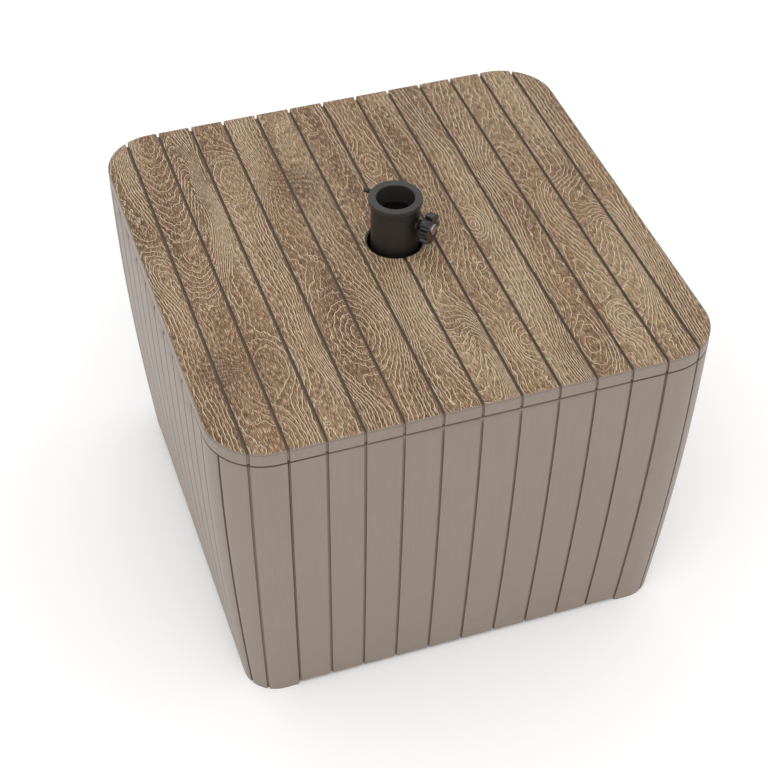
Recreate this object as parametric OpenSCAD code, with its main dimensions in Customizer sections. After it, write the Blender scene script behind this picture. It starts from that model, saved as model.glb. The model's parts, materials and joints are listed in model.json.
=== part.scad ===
// Garden side table that hides a parasol stand.
// Origin on the floor under the middle of the top, +Z up, front wall towards -Y.
// Lengths in millimetres.

/* [Table] */
// Width and depth of the top
table_w = 620; // [560:1:700]
// Height of the top face above the floor
table_h = 462; // [400:1:540]
// Plan radius of the four corners at the top
corner_r = 70; // [62:1:85]
// How far each wall draws in at the floor
wall_draw = 27; // [10:0.5:30]
// Power of the curve by which the walls draw in
draw_power = 1.86; // [1.5:0.01:2.4]

/* [Grooves] */
// Width of the grooves
groove_w = 3.5; // [2:0.1:4.5]
// Depth of the grooves in the walls and in the lid's band
groove_depth = 2.5; // [1:0.1:3]
// Share of the walls' draw by which the wall grooves lean in
groove_lean_share = 0.5; // [0:0.05:0.8]

/* [Lid] */
// Height of the band round the lid, top face included
band_h = 18.5; // [15:0.5:26]
// Thickness of the wood effect strips
strip_t = 2.5; // [1.5:0.1:4]
// Thickness of the lid's plate
plate_t = 5; // [4:0.1:7]
// Depth of the channels under the gaps between the strips
channel_depth = 2; // [0.5:0.1:3]
// Thickness of the lid's skirt
skirt_t = 4.5; // [4:0.1:6]
// Height of the dark seam under the lid
seam_gap = 1.5; // [0.8:0.1:3]
// Thickness of the ribs under the lid
rib_t = 3; // [2:0.1:4]
// How far the ribs under the lid reach down between the top rails
locator_depth = 3.5; // [2:0.5:8]
// Distance of the stiffening ribs from the middle of the lid
rib_place = 95; // [70:1:120]
// Gap round the stand tube in the hole through the top
hole_gap = 4.6; // [3:0.1:8]
// Wall of the collar that lines the hole
collar_t = 1.8; // [1:0.1:2.5]

/* [Walls] */
// Thickness of the walls and corner posts
wall_t = 5; // [4:0.1:6]
// Gap between the walls' lower edge and the floor
foot_h = 6; // [6:0.5:12]
// How far the top rail reaches in from the edge of the table
rail_w = 18; // [15:0.5:22]
// Height of the top rail
rail_h = 24; // [18:0.5:34]
// Thickness of the lip that carries the lid
lip_t = 3; // [2:0.1:4]
// Depth of the finger recess under the lid
recess_depth = 5.5; // [3:0.1:6]
// Distance of the finger recess from the ends of its wall panel
recess_end_gap = 29.5; // [10:0.5:60]
// Height of the finger recess in the middle of the wall
recess_h = 13; // [6:0.5:20]
// Thickness of the channel lips on the corner posts
channel_lip_t = 3; // [2:0.1:4]
// Overlap of a channel lip behind its wall panel
channel_lip_w = 14; // [8:0.5:16]

/* [Floor tray] */
// Thickness of the floor tray
tray_t = 3; // [2:0.1:3]
// Gap between the floor tray and the corner posts
tray_gap = 3; // [2:0.1:6]
// Thickness of the foot flanges that hold the tray down
flange_t = 3; // [2:0.1:3]
// How far a foot flange reaches in from the axis of its corner
flange_back = 37.5; // [34:0.5:50]

/* [Stand] */
// Width of the stand's arms
arm_w = 40; // [30:1:50]
// Height of the stand's arms
arm_h = 25; // [20:0.5:35]
// Wall of the stand's arms
arm_wall = 2; // [1.5:0.1:3]
// Gap between the arms' ends and the housing at the floor
arm_end_gap = 10; // [3:0.5:30]
// Thickness of the rubber pads under the arms
pad_t = 2; // [1:0.1:4]
// Width of the square hub plate
hub_w = 140; // [136:1:160]
// Thickness of the hub plate
hub_t = 6; // [4:0.1:10]
// How far the ballast slabs stay back from the arms' ends
slab_back = 6; // [2:0.5:30]
// Thickness of a ballast slab
slab_t = 60; // [40:1:80]
// Height of the socket that holds the stand tube
socket_h = 120; // [80:1:160]
// Wall of the socket
socket_wall = 3; // [2:0.1:4]

/* [Stand tube] */
// Outer diameter of the stand tube
tube_d = 61; // [56:0.1:64]
// Wall of the stand tube
tube_wall = 2; // [1.5:0.1:2.5]
// Height of the tube's rim above the table top
tube_rise = 67; // [60:1:90]
// How far the rim ring stands out past the tube
ring_overhang = 3.1; // [1.5:0.1:4]
// Bore of the rim ring
ring_bore = 48; // [42:0.1:50]
// Height of the rim ring's head
ring_h = 7; // [6:0.1:10]
// Length of the rim ring's sleeve inside the tube
sleeve_h = 20; // [12:0.5:22]
// Bore of the cup that the pole stands in
cup_bore = 38.6; // [32:0.1:42]
// Height of the pole cup
cup_h = 50; // [30:1:80]
// Floor of the pole cup
cup_floor = 6; // [3:0.5:10]

/* [Clamp knob] */
// Bearing of the clamp round the tube, in degrees
clamp_angle = -45; // [-60:1:-20]
// Distance of the clamp's axis below the rim ring's sleeve
clamp_drop = 5.5; // [5.5:0.1:13]
// Diameter of the threaded stud
stud_d = 8; // [6:0.5:10]
// Diameter of the star grip
grip_d = 39; // [34:0.5:44]
// Thickness of the star grip's lobes
grip_t = 10.5; // [8:0.5:12]
// Width of one lobe
lobe_w = 8; // [6:0.1:9]
// Number of pairs of lobes
lobe_pairs = 4; // [2:1:4]
// Turn of the first lobe from upright, in degrees
lobe_turn = 8; // [0:1:44]
// Depth of the pockets in the lobes' outer faces
pocket_depth = 0.7; // [0.2:0.1:1.5]
// Width of the rim that a pocket leaves round itself
pocket_rim = 1.5; // [0.8:0.1:2]
// Length of the threaded boss on the tube
boss_h = 2.5; // [2:0.1:4]
// Gap between the boss and the grip's hub with the clamp open
grip_gap = 5.2; // [5.2:0.1:10]
// Length of the grip's hub behind the lobes
grip_hub_h = 2.5; // [0.5:0.1:4]
// Diameter of the metal cap
cap_d = 14.4; // [10:0.1:18]
// How far the metal cap stands out from the grip
cap_rise = 1.9; // [1.5:0.1:3]

/* [Hidden] */
// Round surfaces
$fn = 96;
bend_fn = 64;
// Steps along a wall's bulge
bulge_steps = 12;
// Steps along a finger recess
recess_steps = 20;
// Steps round a small fillet
fillet_steps = 5;
// Overrun of every cut
over = 1;
// Loose gap between separate mouldings
loose_gap = 0.2;
// Radial gap of a running fit
run_gap = 0.06;
// Gap between wall and post in the bottom of the groove that hides their joint
joint_gap = 0.6;

half_w = table_w / 2;
corner_axis = half_w - corner_r;

// The joint between a wall and a corner post lies in a groove just before the corner's bend
joint_set_back = 10.3;
joint_place = corner_axis - joint_set_back;

// Places of the grooves from the middle of a side: those of a wall panel, then the one on the bend
panel_groove_shares = [0, 0.2065, 0.4103, 0.61, 0.8057, 1];
bend_groove_turn_share = 0.32;
groove_places = concat(
    panel_groove_shares * joint_place,
    [corner_axis + corner_r * sin(90 * bend_groove_turn_share)]
);
plate_top = table_h - strip_t;
plate_under = plate_top - plate_t;
skirt_under = table_h - band_h;
wall_top = skirt_under - seam_gap;

// The lip stands clear of the skirt and behind the finger recess
lip_clearance = 1;
lip_set = max(skirt_t, recess_depth) + lip_clearance;
rail_end_gap = 0.5;
rail_set_in = wall_t + loose_gap + inset(wall_top - rail_h);

// Joint plates between the rails
bracket_w = 44;
bracket_h = 16;
bracket_t = 2;
bracket_screw_r = 2;
bracket_screw_head_r = 3.6;
bracket_screw_head_h = 1.8;
bracket_screw_len = 10;
bracket_hole_pitch = 26;
bracket_z = wall_top - rail_h / 2;
bracket_place = joint_place - channel_lip_w - rail_end_gap / 2;

// Lid locating ribs run between the joint plates
locator_gap = 1;
locator_run = 2 * (joint_place - channel_lip_w - bracket_w / 2 - rib_t);
rib_h = plate_under - wall_top + locator_depth;

// Hole collar
collar_gap = 0.1;
collar_flange_w = 5;
collar_flange_t = 2.5;
collar_drop = 1.5;
collar_skirt_h = 6;
collar_r = tube_d / 2 + hole_gap + collar_t;
hole_r = collar_r + collar_gap;

// Foot
foot_screw_r = 2;
foot_screw_head_r = 4;
foot_screw_head_h = 2.5;
foot_screw_tip_gap = 0.4;
foot_screw_places = [[-8, -26], [-26, -8]];
tray_half = half_w - wall_draw - wall_t - tray_gap;
tray_r = tray_half - corner_axis;
flange_top = tray_t + flange_t;

// Stand levels
arm_start_gap = 2;
arm_z = tray_t + pad_t;
arm_top = arm_z + arm_h;
hub_top = arm_top + hub_t;
arm_cap_lip = 2.5;
arm_cap_plug = 12;
arm_cap_gap = 0.2;
slab_start = 6;
stand_room = half_w - wall_draw - wall_t - loose_gap - channel_lip_t;
arm_reach = stand_room - arm_end_gap - arm_cap_lip;
slab_w = arm_reach - slab_back - slab_start;
slab_hub_gap = 2;
pad_r = 17;
pad_from_end = 24;
hub_bolt_r = 4;
hub_bolt_len = 16;
hub_bolt_head_r = 6.5;
hub_bolt_head_h = 5.5;
hub_bolt_edge = 10;
hub_bolt_pitch = 16;
hub_bolt_places = [hub_w / 2 - hub_bolt_edge - hub_bolt_pitch, hub_w / 2 - hub_bolt_edge];
hub_nut_h = 6;
hub_nut_r = 7;
hub_hole_gap = 0.3;

// Stand tube
tube_r = tube_d / 2;
tube_in_r = tube_r - tube_wall;
socket_in_r = tube_r + run_gap;
ring_top = table_h + tube_rise;
tube_top = ring_top - ring_h;
ring_r = tube_r + ring_overhang;
bore_r = ring_bore / 2;
ring_fillet = 1;
ring_chamfer = 0.8;
ring_foot_step = 0.8;
rim_screw_turn = 180;
rim_screw_r = 2;
rim_screw_from = bore_r + rim_screw_r;
rim_screw_neck = 2.5;
rim_screw_head_r = 3.4;
rim_screw_head_h = 6.5;

// Clamp
stud_r = stud_d / 2;
grip_r = grip_d / 2;
grip_core_r = 14;
grip_hub_r = 8;
boss_r = 8;
boss_reach = tube_r + boss_h;
grip_from = boss_reach + grip_gap;
clamp_level = tube_top - sleeve_h - clamp_drop;
tube_hole_gap = 0.3;
shoe_from = bore_r;
shoe_len = 5;
shoe_r = stud_r - run_gap;
nose_r = 2;
nose_len = 2.4;
nose_end_gap = 0.1;
stud_from = shoe_from + shoe_len;
lobes_from = grip_from + grip_hub_h;
grip_end = lobes_from + grip_t;
stud_end = grip_end - grip_t / 3;
cap_r = cap_d / 2;
cap_sunk = 0.8;
cap_fillet = 0.9;

// The four sides by their turn from +X
side_turns = [0, 90, 180, 270];
side_count = len(side_turns);
strip_count = 2 * len(groove_places);

resin = [0.56, 0.51, 0.47];
wood = [0.62, 0.49, 0.36];
charcoal = [0.17, 0.16, 0.15];
steel = [0.62, 0.63, 0.65];
rubber = [0.1, 0.1, 0.1];
concrete = [0.66, 0.65, 0.62];

// How far a wall stands in from the edge of the table at a height
function inset(z) = wall_draw * pow((table_h - z) / table_h, draw_power);

// Distance of a leaning groove from the middle of its wall at a height
function groove_at(place, z) = place * (1 - groove_lean_share * inset(z) / half_w);

// Heights along a wall's bulge, with an overrun past each end
function levels(z0, z1) = [for (i = [0:bulge_steps]) z0 + (z1 - z0) * i / bulge_steps];
function long_levels(z0, z1) = concat([z0 - over], levels(z0, z1), [z1 + over]);

// Points of a round edge at an outer radius and a top, from the side up to the top
function round_edge(r, top, fillet) = [
    for (i = [0:fillet_steps])
        let (a = 90 * i / fillet_steps)
        [r - fillet + fillet * cos(a), top - fillet + fillet * sin(a)]
];

function reversed(list) = [for (i = [len(list) - 1:-1:0]) list[i]];

// Section of a bulging wall: out is the depth of its outer face, base the place of the table's edge
module wall_section(base, heights, out, thick) {
    outer = [for (z = heights) [base - inset(z) - out, z]];
    inner = [for (z = reversed(heights)) [base - inset(z) - out - thick, z]];
    polygon(concat(outer, inner));
}

// Section of the top rail, and of the lip that carries the lid; set_in is the depth of the rail's outer face
module rail_section(base, set_in) {
    translate([base - rail_w, wall_top - rail_h])
        square([rail_w - set_in, rail_h]);
}

module lip_section(base) {
    translate([base - lip_set - lip_t, wall_top - rail_h / 2])
        square([lip_t, plate_under - wall_top + rail_h / 2]);
}

// A section stood up along a side that faces +X, from y0 to y1
module along_side(y0, y1) {
    translate([0, y1, 0])
        rotate([90, 0, 0])
            linear_extrude(height = y1 - y0)
                children();
}

// A front view of a side that faces +X, cut through its whole thickness
module through_side() {
    rotate([90, 0, 90])
        linear_extrude(height = table_w)
            children();
}

// Front view between two lines that lean like the grooves at two places
module leaning_field(place0, shift0, place1, shift1, heights) {
    low = [for (z = heights) [groove_at(place0, z) + shift0, z]];
    high = [for (z = reversed(heights)) [groove_at(place1, z) + shift1, z]];
    polygon(concat(low, high));
}

// The grooves of one wall, as solids to cut away
module wall_grooves(places, z0) {
    heights = long_levels(z0, wall_top);
    intersection() {
        along_side(-half_w, half_w)
            wall_section(half_w, heights, -over, groove_depth + over);
        through_side()
            for (place = places)
                leaning_field(place, -groove_w / 2, place, groove_w / 2, heights);
    }
}

// Lens seen from above, its straight side on the wall's face
module lens(depth, length) {
    function lens_depth(y) = depth * (1 - pow(2 * y / length, 2));
    places = [for (i = [0:recess_steps]) length * (i / recess_steps - 0.5)];
    polygon(concat(
        [for (y = places) [-lens_depth(y), y]],
        [[depth, length / 2], [depth, -length / 2]]
    ));
}

// One face of the finger recess, a leaning lens
module recess_face(depth, height) {
    lean = atan(depth / height);
    translate([half_w, 0, wall_top])
        rotate([0, -lean, 0])
            translate([0, 0, -height - rail_h])
                linear_extrude(height = height + 2 * rail_h)
                    lens(depth * cos(lean), recess_w);
}

recess_soft_share = 0.55;
recess_w = 2 * (joint_place - recess_end_gap);
module finger_recess() {
    recess_face(recess_depth, recess_h * recess_soft_share);
    recess_face(recess_depth * recess_soft_share, recess_h);
}

module wall_panel() {
    end_shift = joint_gap / 2;
    heights = levels(foot_h, wall_top);
    rail_half = joint_place - channel_lip_w - rail_end_gap;
    last = len(panel_groove_shares) - 1;
    color(resin)
        union() {
            difference() {
                union() {
                    intersection() {
                        along_side(-half_w, half_w)
                            wall_section(half_w, heights, 0, wall_t);
                        through_side()
                            leaning_field(-joint_place, end_shift, joint_place, -end_shift,
                                long_levels(foot_h, wall_top));
                    }
                    along_side(-rail_half, rail_half)
                        rail_section(half_w, wall_t / 2);
                }
                wall_grooves([for (i = [-last:last]) sign(i) * groove_places[abs(i)]], foot_h);
                finger_recess();
                for (side = [-1, 1])
                    rail_screw_hole(side, -side);
            }
            difference() {
                along_side(-rail_half, rail_half)
                    lip_section(half_w);
                for (side = [-1, 1])
                    rail_screw_hole(side, -side);
            }
        }
}

// Pilot hole in the rail on one side of a joint
module rail_screw_hole(side, towards) {
    place = side * bracket_place + towards * bracket_hole_pitch / 2;
    translate([half_w - rail_w - over, place, bracket_z])
        rotate([0, 90, 0])
            cylinder(r = bracket_screw_r + loose_gap / 2, h = bracket_screw_len + over);
}

// One corner's flat stretch, in the frame of the side that faces +X
module corner_flat() {
    heights = levels(0, wall_top);
    reach = long_levels(0, wall_top);
    lip_levels = levels(flange_top + loose_gap, wall_top - rail_h - loose_gap);
    lip_reach = long_levels(flange_top, wall_top - rail_h);
    rail_from = joint_place - channel_lip_w;
    difference() {
        union() {
            intersection() {
                along_side(0, corner_axis)
                    wall_section(half_w, heights, 0, wall_t);
                through_side()
                    leaning_field(joint_place, joint_gap / 2, half_w, 0, reach);
            }
            along_side(rail_from, corner_axis)
                rail_section(half_w, rail_set_in);
            along_side(joint_place + joint_gap / 2, corner_axis)
                rail_section(half_w, wall_t / 2);
            along_side(rail_from, corner_axis)
                lip_section(half_w);
        }
        wall_grooves([joint_place], 0);
    }
    // Channel lip behind the wall panel, and its root on the post
    intersection() {
        along_side(0, corner_axis)
            wall_section(half_w, lip_levels, wall_t + loose_gap, channel_lip_t);
        through_side()
            leaning_field(joint_place, -channel_lip_w, half_w, 0, lip_reach);
    }
    intersection() {
        along_side(0, corner_axis)
            wall_section(half_w, lip_levels, wall_t / 2 + groove_depth / 2, wall_t / 2 + channel_lip_t / 2);
        through_side()
            leaning_field(joint_place, groove_w, half_w, 0, lip_reach);
    }
}

module corner_groove(turn) {
    heights = long_levels(0, wall_top);
    intersection() {
        rotate_extrude(angle = 90, $fn = bend_fn)
            wall_section(corner_r, heights, -over, groove_depth + over);
        rotate([0, 0, turn])
            translate([0, -groove_w / 2, -over])
                cube([corner_r + 2 * over, groove_w, table_h]);
    }
}

// Plan of a foot flange, from the corner's axis
module flange_plan() {
    reach = corner_r - wall_draw - wall_t / 2;
    side = flange_back + reach;
    intersection() {
        circle(r = reach);
        square(reach);
    }
    translate([-flange_back, -flange_back]) {
        square([flange_back, side]);
        square([side, flange_back]);
    }
}

module corner_post() {
    color(resin)
        difference() {
            union() {
                corner_flat();
                mirror([1, -1, 0])
                    corner_flat();
                translate([corner_axis, corner_axis, 0]) {
                    difference() {
                        rotate_extrude(angle = 90, $fn = bend_fn) {
                            wall_section(corner_r, levels(0, wall_top), 0, wall_t);
                            rail_section(corner_r, wall_t / 2);
                            lip_section(corner_r);
                        }
                        for (turn = [90 * bend_groove_turn_share, 90 * (1 - bend_groove_turn_share)])
                            corner_groove(turn);
                    }
                    translate([0, 0, tray_t])
                        linear_extrude(height = flange_t)
                            flange_plan();
                }
            }
            rail_screw_hole(1, 1);
            mirror([1, -1, 0])
                rail_screw_hole(1, 1);
            for (place = foot_screw_places)
                translate([corner_axis + place[0], corner_axis + place[1], 0])
                    cylinder(r = foot_screw_r + loose_gap / 2, h = flange_top + over);
        }
}

// Plates across the joints of the top rails
module at_joints() {
    for (turn = side_turns, side = [-1, 1])
        rotate([0, 0, turn])
            translate([half_w - rail_w, side * bracket_place, bracket_z])
                children();
}

module rail_joint_plates() {
    color(steel)
        at_joints()
            difference() {
                translate([-bracket_t, -bracket_w / 2, -bracket_h / 2])
                    cube([bracket_t, bracket_w, bracket_h]);
                for (side = [-1, 1])
                    translate([-bracket_t - over, side * bracket_hole_pitch / 2, 0])
                        rotate([0, 90, 0])
                            cylinder(r = bracket_screw_r + loose_gap / 2, h = bracket_t + 2 * over);
            }
}

module rail_screws() {
    slot_w = bracket_screw_r / 2;
    color(steel)
        at_joints()
            for (side = [-1, 1])
                translate([-bracket_t, side * bracket_hole_pitch / 2, 0])
                    rotate([0, 90, 0])
                        difference() {
                            union() {
                                cylinder(r = bracket_screw_r, h = bracket_t + bracket_screw_len - loose_gap);
                                translate([0, 0, -bracket_screw_head_h])
                                    cylinder(r = bracket_screw_head_r, h = bracket_screw_head_h);
                            }
                            for (turn = [0, 90])
                                rotate([0, 0, turn])
                                    translate([-bracket_screw_r, -slot_w / 2, -bracket_screw_head_h - over])
                                        cube([2 * bracket_screw_r, slot_w, bracket_screw_head_h / 2 + over]);
                        }
}

// Square with round corners
module round_square(half, r) {
    straight = half - r;
    for (x = [-straight, straight], y = [-straight, straight])
        translate([x, y])
            circle(r = r);
    square([2 * half, 2 * straight], center = true);
    square([2 * straight, 2 * half], center = true);
}

// Separate battens under the lid: two across the strips, and four that locate it between the rails
module lid_battens() {
    locator_place = half_w - rail_w - locator_gap - rib_t;
    color(resin) {
        for (turn = side_turns)
            rotate([0, 0, turn])
                translate([locator_place, -locator_run / 2, plate_under - rib_h])
                    cube([rib_t, locator_run, rib_h]);
        for (y = [-rib_place, rib_place])
            translate([-locator_place + loose_gap, y - rib_t / 2, plate_under - rib_h])
                cube([2 * (locator_place - loose_gap), rib_t, rib_h]);
    }
}

module lid_shell() {
    last = len(groove_places) - 1;
    color(resin)
        difference() {
            union() {
                translate([0, 0, plate_under])
                    linear_extrude(height = plate_t)
                        round_square(half_w, corner_r);
                translate([0, 0, skirt_under])
                    linear_extrude(height = plate_top - skirt_under)
                        difference() {
                            round_square(half_w, corner_r);
                            round_square(half_w - skirt_t, corner_r - skirt_t);
                        }
            }
            // Channels that go on through the band at the front and the back
            for (i = [-last:last])
                translate([sign(i) * groove_places[abs(i)] - groove_w / 2, 0, 0]) {
                    translate([0, -half_w - over, plate_top - channel_depth])
                        cube([groove_w, table_w + 2 * over, channel_depth + over]);
                    for (y = [band_notch_y(i), -band_notch_y(i)])
                        translate([0, y < 0 ? y - half_w : y, skirt_under - over])
                            cube([groove_w, half_w, band_h + over]);
                }
            cylinder(r = hole_r, h = table_h + over);
        }
}

// Place where a notch starts in the band; on the round corners it follows the curve
function band_notch_y(i) =
    let (past = max(0, groove_places[abs(i)] - corner_axis))
    corner_axis + sqrt(pow(corner_r, 2) - pow(past, 2)) - groove_depth;

module top_strip(i) {
    last = len(groove_places) - 1;
    places = [for (k = [-last:last]) sign(k) * groove_places[abs(k)]];
    from = i == 1 ? -half_w : places[i - 2] + groove_w / 2;
    to = i == strip_count ? half_w : places[i - 1] - groove_w / 2;
    color(wood)
        translate([0, 0, plate_top])
            linear_extrude(height = strip_t)
                difference() {
                    intersection() {
                        round_square(half_w, corner_r);
                        translate([from, -half_w])
                            square([to - from, table_w]);
                    }
                    circle(r = hole_r);
                }
}

module hole_collar() {
    top = table_h - collar_drop;
    color(charcoal)
        rotate_extrude()
            polygon([
                [collar_r - collar_t, plate_under - collar_flange_t - collar_skirt_h],
                [collar_r, plate_under - collar_flange_t - collar_skirt_h],
                [collar_r, plate_under - collar_flange_t],
                [collar_r + collar_flange_w, plate_under - collar_flange_t],
                [collar_r + collar_flange_w, plate_under],
                [collar_r, plate_under],
                [collar_r, top],
                [collar_r - collar_t, top]
            ]);
}

module floor_tray() {
    color(resin)
        difference() {
            linear_extrude(height = tray_t)
                round_square(tray_half, tray_r);
            for (turn = side_turns, place = foot_screw_places)
                rotate([0, 0, turn])
                    translate([corner_axis + place[0], corner_axis + place[1], -over])
                        cylinder(r = foot_screw_r + loose_gap / 2, h = tray_t + 2 * over);
        }
}

module foot_screws() {
    color(steel)
        for (turn = side_turns, place = foot_screw_places)
            rotate([0, 0, turn])
                translate([corner_axis + place[0], corner_axis + place[1], foot_screw_tip_gap]) {
                    cylinder(r = foot_screw_r, h = flange_top - foot_screw_tip_gap);
                    translate([0, 0, flange_top - foot_screw_tip_gap])
                        cylinder(r = foot_screw_head_r, h = foot_screw_head_h);
                }
}

// One arm of the stand, a square tube that runs out along +X
module stand_arm() {
    start = arm_w / 2 + arm_start_gap;
    color(charcoal)
        difference() {
            translate([start, -arm_w / 2, arm_z])
                cube([arm_reach - start, arm_w, arm_h]);
            translate([start - over, -arm_w / 2 + arm_wall, arm_z + arm_wall])
                cube([arm_reach - start + 2 * over, arm_w - 2 * arm_wall, arm_h - 2 * arm_wall]);
            for (x = hub_bolt_places)
                translate([x, 0, arm_top - arm_wall - over])
                    cylinder(r = hub_bolt_r + hub_hole_gap, h = arm_wall + 2 * over);
        }
}

module arm_pads() {
    color(rubber)
        for (turn = side_turns)
            rotate([0, 0, turn])
                translate([arm_reach - pad_from_end, 0, tray_t])
                    cylinder(r = pad_r, h = pad_t);
}

module arm_end_caps() {
    plug_w = arm_w - 2 * arm_wall - 2 * arm_cap_gap;
    plug_h = arm_h - 2 * arm_wall - 2 * arm_cap_gap;
    color(rubber)
        for (turn = side_turns)
            rotate([0, 0, turn]) {
                translate([arm_reach, -arm_w / 2, arm_z])
                    cube([arm_cap_lip, arm_w, arm_h]);
                translate([arm_reach - arm_cap_plug, -plug_w / 2, arm_z + arm_wall + arm_cap_gap])
                    cube([arm_cap_plug + arm_cap_lip / 2, plug_w, plug_h]);
            }
}

module at_hub_bolts() {
    for (turn = side_turns, x = hub_bolt_places)
        rotate([0, 0, turn])
            translate([x, 0, 0])
                children();
}

module hub_plate() {
    color(charcoal)
        difference() {
            translate([-hub_w / 2, -hub_w / 2, arm_top])
                cube([hub_w, hub_w, hub_t]);
            at_hub_bolts()
                translate([0, 0, arm_top - over])
                    cylinder(r = hub_bolt_r + hub_hole_gap, h = hub_t + 2 * over);
        }
}

module hub_bolts() {
    color(steel)
        at_hub_bolts()
            translate([0, 0, hub_top]) {
                translate([0, 0, -hub_bolt_len])
                    cylinder(r = hub_bolt_r, h = hub_bolt_len);
                cylinder(r = hub_bolt_head_r, h = hub_bolt_head_h, $fn = 6);
            }
}

module hub_nuts() {
    color(steel)
        at_hub_bolts()
            translate([0, 0, arm_top - arm_wall - hub_nut_h])
                difference() {
                    cylinder(r = hub_nut_r, h = hub_nut_h, $fn = 6);
                    translate([0, 0, -over])
                        cylinder(r = hub_bolt_r + run_gap, h = hub_nut_h + 2 * over);
                }
}

module tube_socket() {
    color(charcoal)
        translate([0, 0, hub_top])
            difference() {
                cylinder(r = socket_in_r + socket_wall, h = socket_h);
                translate([0, 0, -over])
                    cylinder(r = socket_in_r, h = socket_h + 2 * over);
            }
}

module ballast_slab() {
    corner = hub_w / 2 + slab_hub_gap;
    color(concrete)
        translate([0, 0, arm_top])
            difference() {
                translate([slab_start, slab_start, 0])
                    cube([slab_w, slab_w, slab_t]);
                translate([0, 0, -over])
                    cube([corner, corner, slab_t + 2 * over]);
            }
}

// What lies along the clamp's axis, drawn along +X from the tube's axis
module at_clamp() {
    translate([0, 0, clamp_level])
        rotate([0, 0, clamp_angle])
            rotate([0, 90, 0])
                children();
}

module stand_tube() {
    color(charcoal)
        difference() {
            translate([0, 0, hub_top])
                cylinder(r = tube_r, h = tube_top - hub_top);
            translate([0, 0, hub_top - over])
                cylinder(r = tube_in_r, h = tube_top - hub_top + 2 * over);
            at_clamp()
                cylinder(r = stud_r + tube_hole_gap, h = tube_r + over);
        }
}

module pole_cup() {
    color(rubber)
        difference() {
            translate([0, 0, hub_top])
                cylinder(r = tube_in_r - run_gap, h = cup_h);
            translate([0, 0, hub_top + cup_floor])
                cylinder(d = cup_bore, h = cup_h);
        }
}

module rim_ring() {
    sleeve_r = tube_in_r - run_gap;
    color(charcoal)
        difference() {
            rotate_extrude()
                polygon(concat(
                    [
                        [bore_r, tube_top - sleeve_h],
                        [sleeve_r, tube_top - sleeve_h],
                        [sleeve_r, tube_top],
                        [ring_r - ring_foot_step, tube_top],
                        [ring_r, tube_top + ring_foot_step]
                    ],
                    round_edge(ring_r, ring_top, ring_fillet),
                    [
                        [bore_r + ring_chamfer, ring_top],
                        [bore_r, ring_top - ring_chamfer]
                    ]
                ));
            at_rim_screw()
                translate([0, 0, rim_screw_from])
                    cylinder(r = rim_screw_r + run_gap, h = ring_r);
        }
}

module at_rim_screw() {
    translate([0, 0, tube_top + ring_h / 2])
        rotate([0, 0, clamp_angle + rim_screw_turn])
            rotate([0, 90, 0])
                children();
}

module rim_screw() {
    head_from = ring_r + rim_screw_neck;
    color(charcoal)
        at_rim_screw() {
            translate([0, 0, rim_screw_from])
                cylinder(r = rim_screw_r, h = head_from - rim_screw_from + rim_screw_head_h / 2);
            translate([0, 0, head_from])
                cylinder(r = rim_screw_head_r, h = rim_screw_head_h, $fn = 6);
        }
}

module clamp_boss() {
    color(charcoal)
        difference() {
            at_clamp()
                cylinder(r = boss_r, h = boss_reach);
            cylinder(r = tube_r, h = ring_top);
            at_clamp()
                cylinder(r = stud_r + run_gap, h = boss_reach + over);
        }
}

module clamp_stud() {
    color(steel)
        at_clamp() {
            translate([0, 0, stud_from - nose_len + nose_end_gap])
                cylinder(r = nose_r, h = nose_len);
            translate([0, 0, stud_from + nose_end_gap])
                cylinder(r = stud_r, h = stud_end - stud_from - nose_end_gap);
        }
}

module clamp_shoe() {
    color(rubber)
        at_clamp()
            translate([0, 0, shoe_from])
                difference() {
                    cylinder(r = shoe_r, h = shoe_len);
                    translate([0, 0, shoe_len - nose_len])
                        cylinder(r = nose_r + run_gap, h = nose_len + over);
                }
}

// Turns the star grip's lobes, which lie along X
module at_lobes(count) {
    for (i = [0:count - 1])
        rotate([0, 0, 180 * (i / lobe_pairs) - lobe_turn])
            children();
}

// Outline of the star grip
module star() {
    circle(r = grip_core_r);
    intersection() {
        circle(r = grip_r);
        at_lobes(lobe_pairs)
            square([2 * grip_r, lobe_w], center = true);
    }
}

module clamp_grip() {
    color(rubber)
        at_clamp()
            difference() {
                union() {
                    translate([0, 0, grip_from])
                        cylinder(r = grip_hub_r, h = grip_hub_h + grip_t / 2);
                    translate([0, 0, lobes_from])
                        linear_extrude(height = grip_t)
                            star();
                }
                translate([0, 0, grip_from - over])
                    cylinder(r = stud_r + run_gap / 2, h = stud_end - grip_from + over);
                translate([0, 0, grip_end - cap_sunk])
                    cylinder(r = cap_r + run_gap, h = cap_sunk + over);
                at_lobes(2 * lobe_pairs)
                    translate([grip_r - pocket_depth, -lobe_w / 2 + pocket_rim, lobes_from + pocket_rim])
                        cube([pocket_depth + over, lobe_w - 2 * pocket_rim, grip_t - 2 * pocket_rim]);
            }
}

module clamp_cap() {
    color(steel)
        at_clamp()
            rotate_extrude()
                polygon(concat(
                    [[0, grip_end - cap_sunk], [cap_r, grip_end - cap_sunk]],
                    round_edge(cap_r, grip_end + cap_rise, cap_fillet),
                    [[0, grip_end + cap_rise]]
                ));
}

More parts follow.
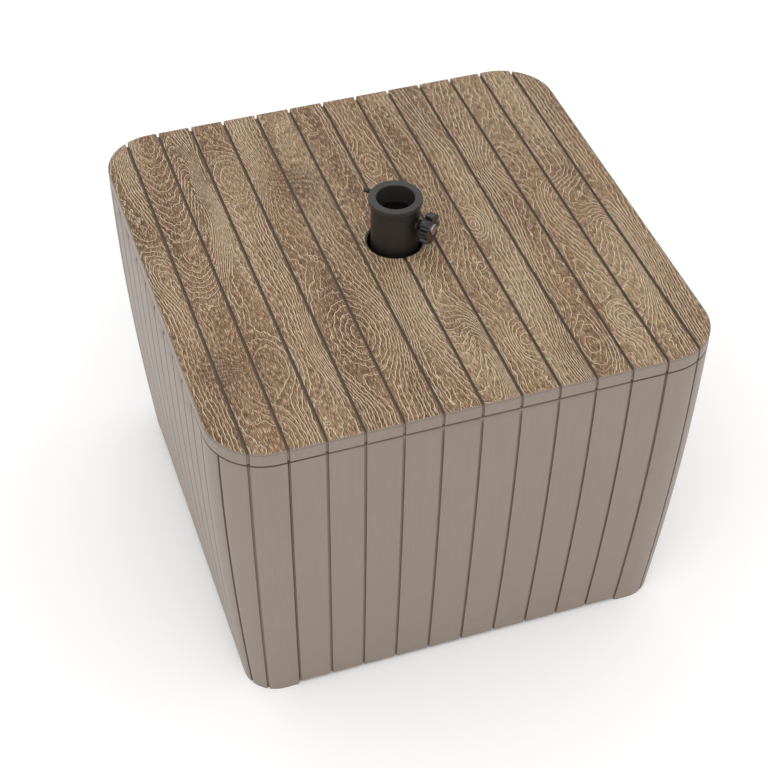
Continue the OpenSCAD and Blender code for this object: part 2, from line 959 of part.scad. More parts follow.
lid_shell();
lid_battens();
hole_collar();
for (i = [1:strip_count])
    top_strip(i);
rotate([0, 0, side_turns[0]]) wall_panel();  // wall_right
rotate([0, 0, side_turns[1]]) wall_panel();  // wall_back
rotate([0, 0, side_turns[2]]) wall_panel();  // wall_left
rotate([0, 0, side_turns[3]]) wall_panel();  // wall_front
rotate([0, 0, side_turns[0]]) corner_post();  // corner_back_right
rotate([0, 0, side_turns[1]]) corner_post();  // corner_back_left
rotate([0, 0, side_turns[2]]) corner_post();  // corner_front_left
rotate([0, 0, side_turns[3]]) corner_post();  // corner_front_right
rail_joint_plates();
rail_screws();
floor_tray();
foot_screws();
for (i = [1:side_count])
    rotate([0, 0, side_turns[i - 1]]) stand_arm();
arm_pads();
arm_end_caps();
hub_plate();
hub_bolts();
hub_nuts();
tube_socket();
for (i = [1:side_count])
    rotate([0, 0, side_turns[i - 1]]) ballast_slab();
stand_tube();
pole_cup();
rim_ring();
rim_screw();
clamp_boss();
clamp_stud();
clamp_grip();
clamp_cap();
clamp_shoe();
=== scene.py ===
import json
import math
import bmesh
import bpy
from mathutils import Matrix, Vector

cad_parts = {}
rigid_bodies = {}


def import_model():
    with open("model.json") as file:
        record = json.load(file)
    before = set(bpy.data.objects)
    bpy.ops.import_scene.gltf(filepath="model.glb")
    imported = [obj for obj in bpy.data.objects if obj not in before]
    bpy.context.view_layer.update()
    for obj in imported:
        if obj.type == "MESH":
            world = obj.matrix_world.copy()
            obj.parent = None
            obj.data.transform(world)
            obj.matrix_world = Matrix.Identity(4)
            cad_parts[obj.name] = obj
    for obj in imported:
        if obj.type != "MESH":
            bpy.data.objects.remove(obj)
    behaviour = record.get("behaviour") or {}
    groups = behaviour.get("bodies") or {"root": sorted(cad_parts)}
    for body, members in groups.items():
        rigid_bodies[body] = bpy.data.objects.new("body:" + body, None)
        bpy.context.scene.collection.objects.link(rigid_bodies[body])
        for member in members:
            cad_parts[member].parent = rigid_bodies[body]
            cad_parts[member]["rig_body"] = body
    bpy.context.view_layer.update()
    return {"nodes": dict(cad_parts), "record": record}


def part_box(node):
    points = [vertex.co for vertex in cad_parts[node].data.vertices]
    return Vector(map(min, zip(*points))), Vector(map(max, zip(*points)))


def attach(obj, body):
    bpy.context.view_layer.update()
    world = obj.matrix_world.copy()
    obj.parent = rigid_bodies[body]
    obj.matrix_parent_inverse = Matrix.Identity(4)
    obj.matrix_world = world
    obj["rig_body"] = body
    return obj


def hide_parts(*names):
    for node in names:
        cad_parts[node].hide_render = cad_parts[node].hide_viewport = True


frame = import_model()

nodes = frame["nodes"]
mm = 0.001
print("frame loaded:", len(nodes), "nodes")

# places that the frame gives
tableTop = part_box("top_strip_8")[1].z
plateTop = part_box("top_strip_8")[0].z
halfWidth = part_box("lid_shell")[1].x
firstStrip = nodes["top_strip_1"].data.vertices
cornerAxis = max(v.co.y for v in firstStrip if v.co.x < 0.01 * mm - halfWidth)
cornerRadius = halfWidth - cornerAxis

# camera, solved from the grooves and edges of the lid
photoView = {
    "turn": -19.058,        # degrees round the table, from the front towards the left
    "tilt": 43.885,         # degrees above the lid
    "roll": 0.618,
    "distance": 7.174,      # these three in half widths of the lid
    "stepRight": 0.044,
    "stepUp": 0.582,
    "focalPixels": 1782.345,
    "framePixels": 768,
    "sensor": 36.0,
    "clip": (0.05, 50),
}


def makeCamera():
    turn, tilt, roll = (math.radians(photoView[key]) for key in ("turn", "tilt", "roll"))
    back = Vector((math.sin(turn) * math.cos(tilt), -math.cos(turn) * math.cos(tilt), math.sin(tilt)))
    level = (-back).cross(Vector((0, 0, 1))).normalized()
    above = level.cross(-back)
    right = level * math.cos(roll) + above * math.sin(roll)
    up = above * math.cos(roll) - level * math.sin(roll)
    steps = back * photoView["distance"] - right * photoView["stepRight"] - up * photoView["stepUp"]
    data = bpy.data.cameras.new("photoCamera")
    data.sensor_width = photoView["sensor"]
    data.lens = photoView["sensor"] * photoView["focalPixels"] / photoView["framePixels"]
    data.clip_start, data.clip_end = photoView["clip"]
    camera = bpy.data.objects.new("photoCamera", data)
    turned = Matrix((right, up, back)).transposed().to_4x4()
    camera.matrix_world = Matrix.Translation(Vector((0, 0, tableTop)) + halfWidth * steps) @ turned
    bpy.context.scene.collection.objects.link(camera)
    bpy.context.scene.camera = camera


makeCamera()
print("camera placed")


# helpers for node trees
occlusionSamples = 8


def paint(red, green, blue):
    levels = [level / 255 for level in (red, green, blue)]
    linear = [v / 12.92 if v <= 0.04045 else ((v + 0.055) / 1.055) ** 2.4 for v in levels]
    return (*linear, 1)


def addNode(tree, kind, inputs=(), **settings):
    node = tree.nodes.new("ShaderNode" + kind)
    for name, value in settings.items():
        setattr(node, name, value)
    for socket, value in dict(inputs).items():
        if isinstance(value, bpy.types.NodeSocket):
            tree.links.new(value, node.inputs[socket])
        else:
            node.inputs[socket].default_value = value
    return node


def maths(tree, operation, first, second=0.0, third=0.0, clamp=False):
    values = {0: first, 1: second, 2: third}
    return addNode(tree, "Math", values, operation=operation, use_clamp=clamp).outputs[0]


def vectorMaths(tree, operation, first, second=(0, 0, 0)):
    node = addNode(tree, "VectorMath", {0: first, 1: second}, operation=operation)
    return node.outputs["Value" if operation in ("LENGTH", "DOT_PRODUCT", "DISTANCE") else "Vector"]


def noise(tree, place, scale, detail=2.0, roughness=0.5):
    stretched = vectorMaths(tree, "MULTIPLY", place, scale)
    inputs = {"Vector": stretched, "Scale": 1.0, "Detail": detail, "Roughness": roughness}
    return addNode(tree, "TexNoise", inputs).outputs["Fac"]


def between(tree, value, low, high, toLow=0.0, toHigh=1.0):
    inputs = {"Value": value, "From Min": low, "From Max": high, "To Min": toLow, "To Max": toHigh}
    return addNode(tree, "MapRange", inputs, interpolation_type="SMOOTHSTEP").outputs["Result"]


def mix(tree, factor, first, second, blend="MIX"):
    node = addNode(tree, "Mix", data_type="RGBA", blend_type=blend)
    for index, value in ((0, factor), (6, first), (7, second)):
        if isinstance(value, bpy.types.NodeSocket):
            tree.links.new(value, node.inputs[index])
        else:
            node.inputs[index].default_value = value
    return node.outputs[2]


def shaded(tree, colour, shade):
    grey = addNode(tree, "CombineColor", {0: shade, 1: shade, 2: shade}).outputs[0]
    return mix(tree, 1.0, colour, grey, blend="MULTIPLY")


def openness(tree, reach):
    return addNode(tree, "AmbientOcclusion", {"Distance": reach}, samples=occlusionSamples).outputs["AO"]


def newMaterial(name, sockets):
    material = bpy.data.materials.new(name)
    material.use_nodes = True
    tree = material.node_tree
    shader = tree.nodes["Principled BSDF"]
    for socket, value in sockets.items():
        shader.inputs[socket].default_value = value
    place = addNode(tree, "TexCoord").outputs["Object"]
    return material, tree, shader, place


def finishSurface(tree, shader, colour, roughness, height, depth, strength=1.0):
    tree.links.new(colour, shader.inputs["Base Color"])
    tree.links.new(roughness, shader.inputs["Roughness"])
    bump = addNode(tree, "Bump", {"Height": height, "Distance": depth, "Strength": strength})
    tree.links.new(bump.outputs["Normal"], shader.inputs["Normal"])


# wood effect film on the strips: one figure that runs on from strip to strip, with its places in mm
woodFigure = {
    "ringSpacing": 7.5 * mm,
    "broadWaves": (         # scale along x and y per metre, and height in rings
        (9, 2.0, 20),
        (34, 8, 3.4),
    ),
    "fineWaves": (
        (120, 75, 1.0),
        (380, 240, 0.26),
    ),
    "arches": (             # place, reach along x, rings per metre along y, and bend (rings a square metre)
        (-250, 165, 44, 56, -4400),
        (8, -235, 30, 46, -5200),
        (232, -90, 34, 52, -4400),
    ),
    "ovals": (              # place, reach along x, and rings per metre outwards
        (-210, -175, 34, 150),
        (-161, 182, 34, 150),
        (-98, -150, 44, 170),
        (104, 0, 17, 240),
        (20, 155, 18, 190),
    ),
    "swirls": (             # place, reach along x, and height in rings
        (262, 10, 18, 5),
        (38, -88, 38, 5),
        (211, -222, 13, 4),
        (85, -223, 14, 4),
        (151, -263, 24, 6),
        (181, 103, 20, 4),
        (-223, -300, 26, -5),
        (-292, 30, 22, 4),
    ),
    "quiet": (              # place, reach along x, and how far the lines fade
        (-92, 150, 42, 0.9),
        (-258, -160, 34, 0.9),
        (-45, 190, 26, 0.7),
        (60, 40, 30, 0.5),
        (-210, -175, 12, 0.95),
        (-161, 182, 12, 0.95),
    ),
    "stains": (             # place, reach along x, and strength of the red brown
        (-76, 128, 24, 0.8),
        (-276, -186, 20, 0.7),
        (280, -262, 20, 0.7),
        (16, -172, 10, 0.9),
        (112, -60, 14, 0.6),
        (-90, -95, 24, 0.6),
        (-252, 190, 24, 0.4),
    ),
    "pales": (              # place, reach along x, and share of the pale colour
        (215, 225, 62, 0.55),
    ),
    "fans": (               # where the rays start, and their middle
        (-150, 170, -92, 150),
        (-222, -172, -262, -158),
    ),
    "fanReach": (47.6, 17),   # where the rays begin to show, and where they show in full
    "fanRays": 46,          # rays per radian
    "fanWobble": 9,
    "stretch": 2.0,         # reach along y over reach along x
    "archStretch": 3.4,
    "archEdge": (1.5, 0.7),     # shares of the reach between which an arch fades in
    "ovalEdge": (1.6, 0.6),
    "probe": 0.35 * mm,
    "lineWidth": 0.98 * mm,
    "lineShare": 0.3,
}


def squeezed(tree, place, stretch):
    return vectorMaths(tree, "MULTIPLY", place, (1 / mm, 1 / (stretch * mm), 0))


def apartFrom(tree, squeezedPlace, stretch, x, y):
    return vectorMaths(tree, "DISTANCE", squeezedPlace, (x, y / stretch, 0))


def swells(tree, place, spots, total=0.0):
    stretch = woodFigure["stretch"]
    near = squeezed(tree, place, stretch)
    for x, y, reach, height in spots:
        swell = between(tree, apartFrom(tree, near, stretch, x, y), 2 * reach, 0, 0, height)
        total = maths(tree, "ADD", swell, total)
    return total


def blended(tree, share, first, second):
    return maths(tree, "MULTIPLY_ADD", share, maths(tree, "SUBTRACT", second, first), first)


def makeFigureGroup():
    tree = bpy.data.node_groups.new("woodRings", "ShaderNodeTree")
    tree.interface.new_socket("Place", in_out="INPUT", socket_type="NodeSocketVector")
    tree.interface.new_socket("Rings", in_out="OUTPUT", socket_type="NodeSocketFloat")
    place = tree.nodes.new("NodeGroupInput").outputs[0]
    spacing = woodFigure["ringSpacing"]
    parts = addNode(tree, "SeparateXYZ", {0: place}).outputs
    rings = maths(tree, "DIVIDE", parts["X"], spacing)
    for scaleX, scaleY, height in woodFigure["broadWaves"]:
        wave = noise(tree, place, (scaleX, scaleY, 0), detail=1.0)
        rings = maths(tree, "MULTIPLY_ADD", wave, height, rings)
    middle = sum(height for scaleX, scaleY, height in woodFigure["broadWaves"]) / 2
    square = maths(tree, "MULTIPLY", parts["X"], parts["X"])
    shape = addNode(tree, "CombineXYZ", {0: parts["X"], 1: parts["Y"], 2: square}).outputs[0]
    stretch = woodFigure["archStretch"]
    near = squeezed(tree, place, stretch)
    for x, y, reach, along, bend in woodFigure["arches"]:
        edge = [part * reach for part in woodFigure["archEdge"]]
        share = between(tree, apartFrom(tree, near, stretch, x, y), *edge)
        level = bend * (x * mm) ** 2 - along * y * mm + x * mm / spacing + middle
        arch = vectorMaths(tree, "DOT_PRODUCT", shape, (-2 * bend * x * mm, along, bend))
        rings = blended(tree, share, rings, maths(tree, "ADD", arch, level))
    stretch = woodFigure["stretch"]
    near = squeezed(tree, place, stretch)
    for x, y, reach, outwards in woodFigure["ovals"]:
        apart = apartFrom(tree, near, stretch, x, y)
        level = x * mm / spacing + middle - outwards * reach * mm
        oval = maths(tree, "MULTIPLY_ADD", apart, outwards * mm, level)
        edge = [part * reach for part in woodFigure["ovalEdge"]]
        rings = blended(tree, between(tree, apart, *edge), rings, oval)
    for scaleX, scaleY, height in woodFigure["fineWaves"]:
        wave = noise(tree, place, (scaleX, scaleY, 0), detail=1.0)
        rings = maths(tree, "MULTIPLY_ADD", wave, height, rings)
    rings = swells(tree, place, woodFigure["swirls"], rings)
    tree.links.new(rings, tree.nodes.new("NodeGroupOutput").inputs[0])
    return tree


# fine rays that spread out beside the ovals
def fanRays(tree, place, jitter):
    total = 0.0
    for startX, startY, x, y in woodFigure["fans"]:
        apart = vectorMaths(tree, "SUBTRACT", place, (startX * mm, startY * mm, 0))
        parts = addNode(tree, "SeparateXYZ", {0: apart}).outputs
        angle = maths(tree, "ARCTAN2", parts["Y"], maths(tree, "ABSOLUTE", parts["X"]))
        ray = maths(tree, "SINE", maths(tree, "MULTIPLY_ADD", angle, woodFigure["fanRays"], jitter))
        apart = apartFrom(tree, squeezed(tree, place, 1), 1, x, y)
        inside = between(tree, apart, *woodFigure["fanReach"])
        total = maths(tree, "MULTIPLY_ADD", between(tree, ray, 0.0, 0.8), inside, total)
    return total


def ringHeight(tree, group, place):
    node = tree.nodes.new("ShaderNodeGroup")
    node.node_tree = group
    tree.links.new(place, node.inputs[0])
    return node.outputs[0]


# how far a point of the lid lies inside the lid's outline
def insideOutline(tree, place):
    flat = vectorMaths(tree, "MULTIPLY", vectorMaths(tree, "ABSOLUTE", place), (1, 1, 0))
    beyond = vectorMaths(tree, "SUBTRACT", flat, (cornerAxis, cornerAxis, 0))
    parts = addNode(tree, "SeparateXYZ", {0: beyond}).outputs
    outside = vectorMaths(tree, "LENGTH", vectorMaths(tree, "MAXIMUM", beyond, (0, 0, 0)))
    within = maths(tree, "MINIMUM", maths(tree, "MAXIMUM", parts["X"], parts["Y"]), 0)
    return maths(tree, "SUBTRACT", cornerRadius, maths(tree, "ADD", outside, within))


woodColours = {
    "tan": paint(135, 104, 75),
    "brown": paint(108, 78, 52),
    "pale": paint(158, 134, 103),
    "stain": paint(106, 74, 53),
    "cream": paint(228, 208, 176),
    "line": paint(60, 41, 28),
    "pore": paint(70, 49, 35),
}
woodNoises = {              # scale along x and y per metre, detail and roughness
    "broad": ((13, 2.4, 0), 2.0),
    "warm": ((26, 4, 0), 3.0),
    "fibre": ((520, 62, 0), 3.0, 0.7),
    "vessel": ((860, 105, 0), 2.0, 0.7),
    "breaks": ((70, 22, 0), 4.0, 0.6),
    "ragged": ((260, 260, 0), 3.0),
}
woodShades = {              # from and to which level each one runs, and what it gives there
    "creamEdge": (1.1, 0.3),
    "darkEdge": (1.3, 0.2),
    "brown": (0.4, 0.66, 0, 0.85),
    "pale": (0.48, 0.68, 0, 0.85),
    "fibre": (0.32, 0.68, 0.7, 1.24),
    "ring": (0, 1, 0.86, 1.12),
    "pore": (0.52, 0.64, 0, 0.8),
    "fleck": (0.46, 0.35, 0, 0.6),
    "darkBreaks": (0.3, 0.6, 0.35, 0.95),
    "creamBreaks": (0.3, 0.55, 0.3, 1.0),
    "facingUp": (0.86, 0.98),
    "roughness": (0.2, 0.8, 0.5, 0.66),
    "filmEdge": (-0.1 * mm, 0.1 * mm),
}
woodShares = {
    "warmShift": (3.1, 1.7, 0),     # metres, so that this noise differs from the broad one
    "follow": 4 * mm,       # how far the fibres go along with each ring
    "mostPale": 0.9,
    "stain": 0.75,
    "rays": 0.5,
    "dark": 0.8,
    "fibre": 0.5,
    "raggedBy": 2.4 * mm,
    "bumpDepth": 0.12 * mm,
    "bump": 0.5,
}


def makeWood():
    material, tree, shader, place = newMaterial("woodEffectFilm", {"Specular IOR Level": 0.3})
    group = makeFigureGroup()
    probe = woodFigure["probe"]
    rings = ringHeight(tree, group, place)
    slopes = [
        maths(tree, "SUBTRACT", ringHeight(tree, group, vectorMaths(tree, "ADD", place, step)), rings)
        for step in ((probe, 0, 0), (0, probe, 0))
    ]
    slope = maths(tree, "SQRT", maths(tree, "ADD", *(maths(tree, "POWER", s, 2) for s in slopes)))
    phase = maths(tree, "FRACT", rings)
    share = maths(tree, "MULTIPLY", slope, woodFigure["lineWidth"] / probe)
    share = maths(tree, "MINIMUM", share, woodFigure["lineShare"])
    creamLine = maths(tree, "DIVIDE", maths(tree, "SUBTRACT", 1, phase), share)
    creamLine = between(tree, creamLine, *woodShades["creamEdge"])
    darkLine = between(tree, maths(tree, "DIVIDE", phase, share), *woodShades["darkEdge"])

    parts = addNode(tree, "SeparateXYZ", {0: place}).outputs
    ringPlace = maths(tree, "MULTIPLY", rings, woodShares["follow"])
    ringPlace = maths(tree, "ADD", ringPlace, parts["X"])
    follow = addNode(tree, "CombineXYZ", {0: ringPlace, 1: parts["Y"]}).outputs[0]
    broad = noise(tree, place, *woodNoises["broad"])
    warm = noise(tree, vectorMaths(tree, "ADD", place, woodShares["warmShift"]), *woodNoises["warm"])
    fibre = noise(tree, follow, *woodNoises["fibre"])
    vessel = noise(tree, place, *woodNoises["vessel"])
    breaks = noise(tree, place, *woodNoises["breaks"])
    quiet = swells(tree, place, woodFigure["quiet"])
    stains = swells(tree, place, woodFigure["stains"])
    rays = fanRays(tree, place, maths(tree, "MULTIPLY", breaks, woodFigure["fanWobble"]))

    colour = mix(tree, between(tree, warm, *woodShades["brown"]), woodColours["tan"], woodColours["brown"])
    paleShare = swells(tree, place, woodFigure["pales"], between(tree, broad, *woodShades["pale"]))
    paleShare = maths(tree, "MINIMUM", paleShare, woodShares["mostPale"])
    colour = mix(tree, paleShare, colour, woodColours["pale"])
    stainShare = maths(tree, "MULTIPLY", stains, woodShares["stain"], clamp=True)
    colour = mix(tree, stainShare, colour, woodColours["stain"])
    shade = between(tree, fibre, *woodShades["fibre"])
    shade = maths(tree, "MULTIPLY", shade, between(tree, phase, *woodShades["ring"]))
    colour = shaded(tree, colour, shade)
    colour = mix(tree, between(tree, vessel, *woodShades["pore"]), colour, woodColours["pore"])
    colour = mix(tree, between(tree, vessel, *woodShades["fleck"]), colour, woodColours["cream"])
    rayShare = maths(tree, "MULTIPLY", rays, woodShares["rays"], clamp=True)
    colour = mix(tree, rayShare, colour, woodColours["line"])
    strength = maths(tree, "SUBTRACT", 1, quiet, clamp=True)
    darkShare = maths(tree, "MULTIPLY", darkLine, between(tree, breaks, *woodShades["darkBreaks"]))
    creamShare = maths(tree, "MULTIPLY", creamLine, between(tree, breaks, *woodShades["creamBreaks"]))
    colour = mix(tree, maths(tree, "MULTIPLY", darkShare, strength), colour, woodColours["line"])
    colour = mix(tree, maths(tree, "MULTIPLY", creamShare, strength), colour, woodColours["cream"])

    upward = addNode(tree, "SeparateXYZ", {0: addNode(tree, "NewGeometry").outputs["Normal"]}).outputs["Z"]
    ragged = noise(tree, place, *woodNoises["ragged"])
    inside = insideOutline(tree, place)
    border = maths(tree, "SUBTRACT", inside, maths(tree, "MULTIPLY", ragged, woodShares["raggedBy"]))
    film = between(tree, border, *woodShades["filmEdge"])
    film = maths(tree, "MULTIPLY", film, between(tree, upward, *woodShades["facingUp"]))
    # the strips' bare sides take painted channel shade deeper inside the outline
    deepIn = between(tree, inside, *resinLook["channelEdge"])
    bare = mix(tree, deepIn, resinLook["face"], resinLook["channel"])
    colour = mix(tree, film, bare, colour)
    roughness = between(tree, fibre, *woodShades["roughness"])
    height = maths(tree, "SUBTRACT", creamLine, maths(tree, "MULTIPLY", darkLine, woodShares["dark"]))
    height = maths(tree, "ADD", height, maths(tree, "MULTIPLY", fibre, woodShares["fibre"]))
    finishSurface(tree, shader, colour, roughness, height, woodShares["bumpDepth"], woodShares["bump"])
    return material


# taupe resin of the walls and the lid, with a fine upright grain and painted shade in its hollows, under
# the skirt and in the lid's channels
resinLook = {
    "face": paint(138, 123, 111),
    "worn": paint(145, 131, 120),
    # painted shade on the floors of the channels between the strips and on the strips' bare sides
    "channel": paint(114, 97, 83),
    # painted shade: the colour laid in grooves and hollows and under the lid's skirt
    "paintedShade": paint(84, 72, 63),
    "hollowReach": 4 * mm,
    "bandHeight": 18.5 * mm,
    "grain": ((520, 520, 9), 4.0, 0.6),     # scale per metre, detail and roughness
    "clouds": ((7, 7, 5), 3.0),
    "specks": ((1500, 1500, 1500), 1.0),
    "wornBy": (0.3, 0.7, 0, 0.25),      # these run from and to a level, and say what they give there
    "grainShade": (0.3, 0.7, 0.955, 1.035),
    "speckShade": (0.2, 0.8, 0.98, 1.02),
    "hollowShade": (0.78, 0.22, 0, 0.82),
    "seamShade": (2.6 * mm, 1.6 * mm, 0, 0.72),
    "skirtEdge": (-0.7 * mm, -0.2 * mm),
    "roughness": (0.2, 0.8, 0.38, 0.5),
    "hollowRoughness": 0.6,     # added where shade is painted in hollows and under the skirt
    "channelDepth": (0.1 * mm, 0.9 * mm),   # under the strips' lower face
    "channelEdge": (3.2 * mm, 5.5 * mm),    # inside the outline
    "sockets": {"Specular IOR Level": 0.55},
    "bumpDepth": 0.06 * mm,
    "bump": 0.6,
}


def makeResin(name, channels=False):
    look = resinLook
    material, tree, shader, place = newMaterial(name, look["sockets"])
    grain = noise(tree, place, *look["grain"])
    cloud = noise(tree, place, *look["clouds"])
    speck = noise(tree, place, *look["specks"])
    colour = mix(tree, between(tree, cloud, *look["wornBy"]), look["face"], look["worn"])
    shade = between(tree, grain, *look["grainShade"])
    shade = maths(tree, "MULTIPLY", shade, between(tree, speck, *look["speckShade"]))
    colour = shaded(tree, colour, shade)
    # painted shade in grooves and other hollows, darker where the surface is more closed in
    paintedShadeShare = between(tree, openness(tree, look["hollowReach"]), *look["hollowShade"])
    height = addNode(tree, "SeparateXYZ", {0: place}).outputs["Z"]
    below = maths(tree, "SUBTRACT", tableTop - look["bandHeight"], height)
    under = maths(tree, "SUBTRACT", below, insideOutline(tree, place))  # in the skirt's shade at 45 degrees
    # painted shadow of the lid's skirt on the wall just below it
    skirtShadow = between(tree, under, *look["seamShade"])
    skirtShadow = maths(tree, "MULTIPLY", skirtShadow, between(tree, below, *look["skirtEdge"]))
    paintedShadeShare = maths(tree, "MAXIMUM", paintedShadeShare, skirtShadow)
    colour = mix(tree, paintedShadeShare, colour, look["paintedShade"])
    if channels:
        # painted shade on the channel floors between the strips
        sunk = between(tree, height, *(plateTop - depth for depth in look["channelDepth"]))
        deepIn = between(tree, insideOutline(tree, place), *look["channelEdge"])
        colour = mix(tree, maths(tree, "MULTIPLY", sunk, deepIn), colour, look["channel"])
    roughness = between(tree, grain, *look["roughness"])
    roughness = maths(tree, "MULTIPLY_ADD", paintedShadeShare, look["hollowRoughness"], roughness, clamp=True)
    finishSurface(tree, shader, colour, roughness, grain, look["bumpDepth"], look["bump"])
    return material


# coated and bare metals, plastics, rubber and concrete
smallLooks = {
    "charcoalCoat": {
        "paints": (paint(44, 41, 38), paint(52, 48, 45)),
        "rough": (0.36, 0.48),
        "fleck": 1600,
        "depth": 0.03,
        "sockets": {"Specular IOR Level": 0.35},
        "paintedShade": (28 * mm, 0.4),   # painted shade in hollows: reach, and how much of the colour is left
    },
    "charcoalPlastic": {
        "paints": (paint(48, 46, 45), paint(58, 56, 54)),
        "rough": (0.34, 0.46),
        "fleck": 900,
        "depth": 0.03,
        "sockets": {"Specular IOR Level": 0.4},
        "paintedShade": (20 * mm, 0.5),
    },
    "blackPlastic": {
        "paints": (paint(22, 22, 23), paint(33, 33, 33)),
        "rough": (0.17, 0.28),
        "fleck": 1100,
        "depth": 0.02,
        "sockets": {"Specular IOR Level": 0.6},
    },
    "zincPlate": {
        "paints": (paint(190, 192, 196), paint(168, 171, 176)),
        "rough": (0.2, 0.36),
        "fleck": 500,
        "depth": 0.01,
        "sockets": {"Metallic": 1.0},
    },
    "blackRubber": {
        "paints": (paint(34, 34, 34), paint(46, 45, 44)),
        "rough": (0.7, 0.85),
        "fleck": 700,
        "depth": 0.06,
        "sockets": {"Specular IOR Level": 0.25},
    },
    "castConcrete": {
        "paints": (paint(158, 156, 150), paint(126, 124, 119)),
        "rough": (0.8, 0.94),
        "fleck": 260,
        "depth": 0.5,
        "sockets": {"Specular IOR Level": 0.2},
    },
}
commonLook = {
    "cloud": ((14, 14, 14), 3.0),
    "cloudMix": (0.3, 0.7),
    "fleckDetail": 4.0,
    "fleckMix": (0.35, 0.65, 0, 0.35),
    "fleckRough": (0.25, 0.75),
    "openness": (0.95, 0.45),
    "bump": 0.7,
}


def makeSmallLook(name):
    look = smallLooks[name]
    material, tree, shader, place = newMaterial(name, look["sockets"])
    fleck = noise(tree, place, (look["fleck"],) * 3, commonLook["fleckDetail"])
    cloud = noise(tree, place, *commonLook["cloud"])
    colour = mix(tree, between(tree, cloud, *commonLook["cloudMix"]), *look["paints"])
    colour = mix(tree, between(tree, fleck, *commonLook["fleckMix"]), colour, look["paints"][1])
    if "paintedShade" in look:
        reach, left = look["paintedShade"]
        # painted shade: darker towards black where other parts close the surface in
        paintedShadeShare = between(tree, openness(tree, reach), *commonLook["openness"], 0, 1 - left)
        colour = mix(tree, paintedShadeShare, colour, paint(0, 0, 0))
    roughness = between(tree, fleck, *commonLook["fleckRough"], *look["rough"])
    finishSurface(tree, shader, colour, roughness, fleck, look["depth"] * mm, commonLook["bump"])
    return material


looks = {name: makeSmallLook(name) for name in smallLooks}
looks["wallResin"] = makeResin("wallResin")
looks["lidResin"] = makeResin("lidResin", channels=True)
looks["woodEffectFilm"] = makeWood()
print("materials made:", len(looks))

# which finish each slot of the record takes
slotLooks = {
    "taupe_resin": "wallResin",
    "wood_effect": "woodEffectFilm",
    "charcoal_coated_steel": "charcoalCoat",
    "charcoal_plastic": "charcoalPlastic",
    "black_plastic": "blackPlastic",
    "zinc_plated_steel": "zincPlate",
    "black_rubber": "blackRubber",
    "concrete": "castConcrete",
}
slotOf = {part["node"]: part["material_slot"] for part in frame["record"]["subparts"]}


def lookOf(node):
    return looks["lidResin" if node == "lid_shell" else slotLooks[slotOf[node]]]


for name, node in nodes.items():
    node.data.materials.clear()
    node.data.materials.append(lookOf(name))


# copies of the frame's pieces with softened edges; widths in millimetres
softEdges = {
    "top_strip": 0.7,
    "lid_shell": 0.6,
    "hole_collar": 0.4,
    "wall": 0.45,
    "corner": 0.45,
    "clamp_grip": 0.7,
    "rim_screw": 0.4,
    "stand_arm": 1.2,
    "hub_plate": 0.8,
    "ballast_slab": 4.0,
    "arm_end_caps": 0.8,
    "hub_bolts": 0.5,
    "rail_joint_plates": 0.3,
    "floor_tray": 0.8,
}
softening = {
    "mergeWithin": 0.002 * mm,
    "flatWithin": math.radians(0.08),
    "edgeOver": math.radians(32),
    "segments": 2,
}


def softenedPiece(name, width):
    source = nodes[name]
    mesh = source.data.copy()
    mesh.name = name + "_soft"
    body = bmesh.new()
    body.from_mesh(mesh)
    bmesh.ops.remove_doubles(body, verts=body.verts, dist=softening["mergeWithin"])
    bmesh.ops.dissolve_limit(body, angle_limit=softening["flatWithin"], verts=body.verts, edges=body.edges)
    body.to_mesh(mesh)
    body.free()
    mesh.shade_smooth()
    mesh.set_sharp_from_angle(angle=softening["edgeOver"])
    piece = bpy.data.objects.new(name + "_soft", mesh)
    bpy.context.scene.collection.objects.link(piece)
    bevel = piece.modifiers.new("softEdges", "BEVEL")
    bevel.width = width * mm
    bevel.segments = softening["segments"]
    bevel.limit_method = "ANGLE"
    bevel.angle_limit = softening["edgeOver"]
    bevel.harden_normals = True
    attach(piece, source["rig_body"])
    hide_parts(name)


for name in sorted(nodes):
    widths = [width for start, width in softEdges.items() if name.startswith(start)]
    if widths:
        softenedPiece(name, widths[0])
print("softened pieces made")


# floor and light
stageLook = {
    "floorSize": 12.0,
    "floorLevel": 0.90,
    "floorLift": 0.06,      # glow of the floor where it is seen, for a white ground
    "skyLevel": 0.95,
    "backdropLevel": 1.0,
    "lampPower": 30,
    "lampSize": 2.6,
    "lampPlace": (-0.9, -2.0, 3.7),
}
white = (1, 1, 1, 1)


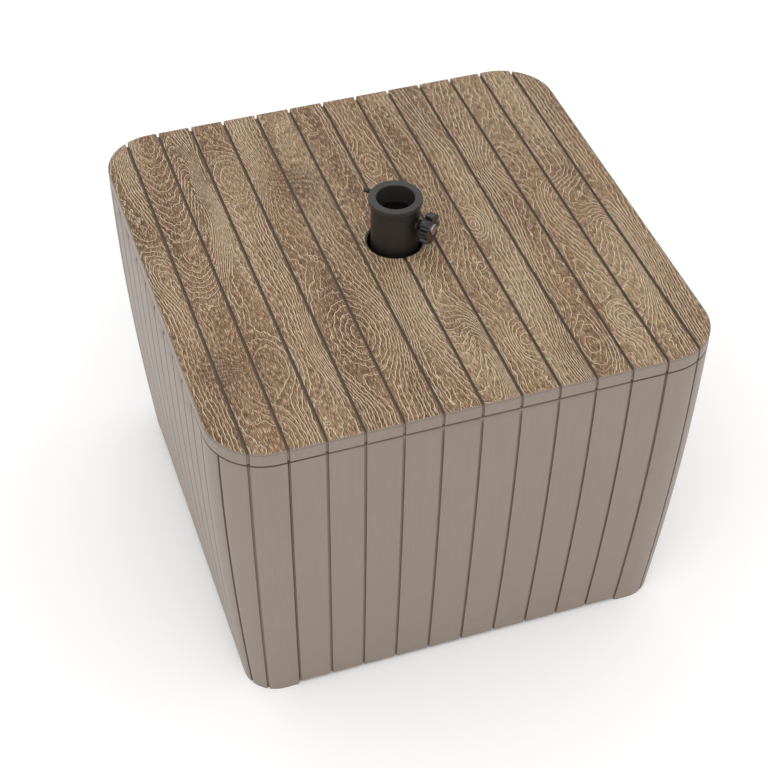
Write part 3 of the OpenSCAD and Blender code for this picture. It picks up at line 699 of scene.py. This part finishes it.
def makeFloor():
    mesh = bpy.data.meshes.new("studioFloor")
    half = stageLook["floorSize"] / 2
    corners = [(-half, -half, 0), (half, -half, 0), (half, half, 0), (-half, half, 0)]
    mesh.from_pydata(corners, [], [(0, 1, 2, 3)])
    floor = bpy.data.objects.new("studioFloor", mesh)
    bpy.context.scene.collection.objects.link(floor)
    material = bpy.data.materials.new("studioFloor")
    material.use_nodes = True
    tree = material.node_tree
    tree.nodes.clear()
    rays = addNode(tree, "LightPath").outputs
    plain = addNode(tree, "BsdfDiffuse", {"Color": (*[stageLook["floorLevel"]] * 3, 1)}).outputs[0]
    seen = addNode(tree, "BsdfDiffuse", {"Color": white}).outputs[0]
    lift = addNode(tree, "Emission", {"Color": white, "Strength": stageLook["floorLift"]}).outputs[0]
    seen = addNode(tree, "AddShader", {0: seen, 1: lift}).outputs[0]
    shown = maths(tree, "MAXIMUM", rays["Is Camera Ray"], rays["Is Glossy Ray"])
    surface = addNode(tree, "MixShader", {0: shown, 1: plain, 2: seen}).outputs[0]
    output = addNode(tree, "OutputMaterial")
    tree.links.new(surface, output.inputs["Surface"])
    mesh.materials.append(material)


def makeWorld():
    world = bpy.data.worlds.new("studioSky")
    bpy.context.scene.world = world
    world.use_nodes = True
    tree = world.node_tree
    tree.nodes.clear()
    rays = addNode(tree, "LightPath").outputs
    shown = maths(tree, "MAXIMUM", rays["Is Camera Ray"], rays["Is Glossy Ray"])
    shown = maths(tree, "MAXIMUM", shown, rays["Is Transmission Ray"])
    light = addNode(tree, "Background", {"Color": white, "Strength": stageLook["skyLevel"]}).outputs[0]
    level = stageLook["backdropLevel"]
    backdrop = addNode(tree, "Background", {"Color": white, "Strength": level}).outputs[0]
    surface = addNode(tree, "MixShader", {0: shown, 1: light, 2: backdrop}).outputs[0]
    output = addNode(tree, "OutputWorld")
    tree.links.new(surface, output.inputs["Surface"])


def makeLamp():
    data = bpy.data.lights.new("softLamp", "AREA")
    data.shape = "DISK"
    data.size = stageLook["lampSize"]
    data.energy = stageLook["lampPower"]
    lamp = bpy.data.objects.new("softLamp", data)
    place = Vector(stageLook["lampPlace"])
    lamp.location = place
    lamp.rotation_mode = "QUATERNION"
    lamp.rotation_quaternion = (Vector((0, 0, tableTop / 2)) - place).to_track_quat("-Z", "Y")
    bpy.context.scene.collection.objects.link(lamp)


makeFloor()
makeWorld()
makeLamp()
bpy.context.scene.view_settings.view_transform = "Standard"
print("floor and light made")

bpy.context.view_layer.update()
